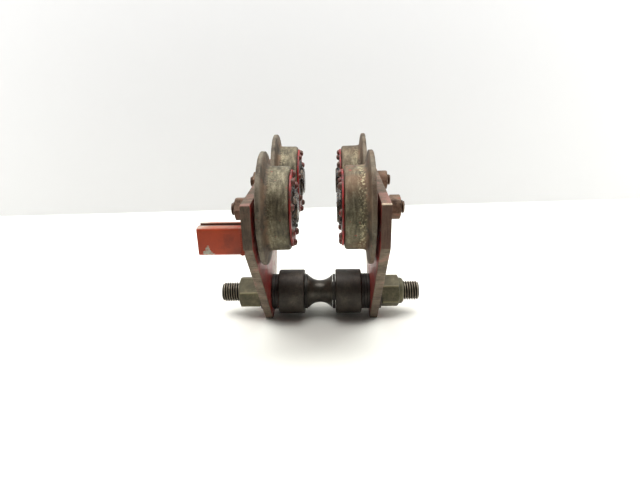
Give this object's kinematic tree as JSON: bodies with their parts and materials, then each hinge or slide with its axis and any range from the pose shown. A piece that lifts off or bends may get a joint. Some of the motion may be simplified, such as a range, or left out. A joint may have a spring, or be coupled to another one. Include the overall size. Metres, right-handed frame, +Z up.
{
  "type": "beam trolley",
  "caption": "Push trolley for a chain hoist: two steel side plates with flanged wheels that roll on an I-beam, tied by a cross bolt with a grooved hook bobbin.",
  "frame": {"origin": "on the floor under the middle of the load bolt, at the foot of the side plates", "axes": "+X along the load bolt towards the side without the tow arm, +Y along the beam, +Z up"},
  "size_m": [0.2058, 0.2044, 0.1822],
  "materials": {
    "worn_steel": "worn bare steel, brown and olive, rolled bright on the tread",
    "plate_paint": "semi-gloss dark red paint, worn to brown steel along the cut edges",
    "red_paint": "glossy red paint with grease",
    "arm_paint": "orange-red paint, chipped",
    "rusty_steel": "rusty brown",
    "greasy_steel": "greasy black",
    "black_steel": "dark oxide, satin",
    "plated_steel": "dull olive plating",
    "bearing_steel": "ground"
  },
  "bodies": {
    "left_side": {"side_plate_left": "plate_paint", "tow_arm": "arm_paint", "load_bolt": "plated_steel", "load_nut_left": "plated_steel", "load_nut_right": "plated_steel", "bobbin_washer_left": "black_steel", "bobbin_washer_right": "black_steel", "inner_washer_left_1": "black_steel", "inner_washer_left_2": "black_steel", "inner_washer_right_1": "black_steel", "inner_washer_right_2": "black_steel", "inner_washer_right_3": "black_steel", "outer_washer_left": "black_steel", "outer_washer_right": "black_steel", "inner_race_front_left": "bearing_steel", "axle_spacer_front_left": "greasy_steel", "axle_stud_front_left": "greasy_steel", "lock_washer_front_left": "rusty_steel", "axle_nut_front_left": "rusty_steel", "inner_race_rear_left": "bearing_steel", "axle_spacer_rear_left": "greasy_steel", "axle_stud_rear_left": "greasy_steel", "lock_washer_rear_left": "rusty_steel", "axle_nut_rear_left": "rusty_steel"},
    "right_side": {"side_plate_right": "plate_paint", "inner_race_front_right": "bearing_steel", "axle_spacer_front_right": "greasy_steel", "axle_stud_front_right": "greasy_steel", "lock_washer_front_right": "rusty_steel", "axle_nut_front_right": "rusty_steel", "inner_race_rear_right": "bearing_steel", "axle_spacer_rear_right": "greasy_steel", "axle_stud_rear_right": "greasy_steel", "lock_washer_rear_right": "rusty_steel", "axle_nut_rear_right": "rusty_steel"},
    "hook_bobbin": {"hook_bobbin": "black_steel"},
    "collar_left": {"spacer_collar_left": "black_steel"},
    "collar_right": {"spacer_collar_right": "black_steel"},
    "wheel_front_left": {"wheel_front_left": "worn_steel", "outer_race_front_left": "bearing_steel", "cover_plate_front_left": "red_paint"},
    "ball_cage_front_left": {"ball_cage_front_left": "bearing_steel"},
    "wheel_rear_left": {"wheel_rear_left": "worn_steel", "outer_race_rear_left": "bearing_steel", "cover_plate_rear_left": "red_paint"},
    "ball_cage_rear_left": {"ball_cage_rear_left": "bearing_steel"},
    "wheel_front_right": {"wheel_front_right": "worn_steel", "outer_race_front_right": "bearing_steel", "cover_plate_front_right": "red_paint"},
    "ball_cage_front_right": {"ball_cage_front_right": "bearing_steel"},
    "wheel_rear_right": {"wheel_rear_right": "worn_steel", "outer_race_rear_right": "bearing_steel", "cover_plate_rear_right": "red_paint"},
    "ball_cage_rear_right": {"ball_cage_rear_right": "bearing_steel"}
  },
  "joints": [
    {"name": "side_rock", "type": "hinge", "parent": "left_side", "child": "right_side", "pos_m": [0.0557, 0, 0.0252], "axis": [1, 0, 0], "range_deg": [-15, 15]},
    {"name": "bobbin_turn", "type": "hinge", "parent": "left_side", "child": "hook_bobbin", "pos_m": [0, 0, 0.0252], "axis": [1, 0, 0], "continuous": true},
    {"name": "collar_left_turn", "type": "hinge", "parent": "left_side", "child": "collar_left", "pos_m": [-0.0295, 0, 0.0252], "axis": [1, 0, 0], "continuous": true},
    {"name": "collar_right_turn", "type": "hinge", "parent": "left_side", "child": "collar_right", "pos_m": [0.0295, 0, 0.0252], "axis": [1, 0, 0], "continuous": true},
    {"name": "wheel_front_left_spin", "type": "hinge", "parent": "left_side", "child": "wheel_front_left", "pos_m": [-0.033, -0.0524, 0.1324], "axis": [1, 0, 0], "continuous": true},
    {"name": "ball_cage_front_left_spin", "type": "hinge", "parent": "left_side", "child": "ball_cage_front_left", "pos_m": [-0.0293, -0.0524, 0.1324], "axis": [1, 0, 0], "continuous": true},
    {"name": "wheel_rear_left_spin", "type": "hinge", "parent": "left_side", "child": "wheel_rear_left", "pos_m": [-0.033, 0.0524, 0.1324], "axis": [1, 0, 0], "continuous": true},
    {"name": "ball_cage_rear_left_spin", "type": "hinge", "parent": "left_side", "child": "ball_cage_rear_left", "pos_m": [-0.0293, 0.0524, 0.1324], "axis": [1, 0, 0], "continuous": true},
    {"name": "wheel_front_right_spin", "type": "hinge", "parent": "right_side", "child": "wheel_front_right", "pos_m": [0.0347, -0.0524, 0.1324], "axis": [1, 0, 0], "continuous": true},
    {"name": "ball_cage_front_right_spin", "type": "hinge", "parent": "right_side", "child": "ball_cage_front_right", "pos_m": [0.031, -0.0524, 0.1324], "axis": [1, 0, 0], "continuous": true},
    {"name": "wheel_rear_right_spin", "type": "hinge", "parent": "right_side", "child": "wheel_rear_right", "pos_m": [0.0347, 0.0524, 0.1324], "axis": [1, 0, 0], "continuous": true},
    {"name": "ball_cage_rear_right_spin", "type": "hinge", "parent": "right_side", "child": "ball_cage_rear_right", "pos_m": [0.031, 0.0524, 0.1324], "axis": [1, 0, 0], "continuous": true}
  ],
  "couplings": [
    {"joint": "ball_cage_front_left_spin", "follows": "wheel_front_left_spin", "ratio": 0.6093},
    {"joint": "ball_cage_rear_left_spin", "follows": "wheel_rear_left_spin", "ratio": 0.6093},
    {"joint": "ball_cage_front_right_spin", "follows": "wheel_front_right_spin", "ratio": 0.6093},
    {"joint": "ball_cage_rear_right_spin", "follows": "wheel_rear_right_spin", "ratio": 0.6093}
  ]
}
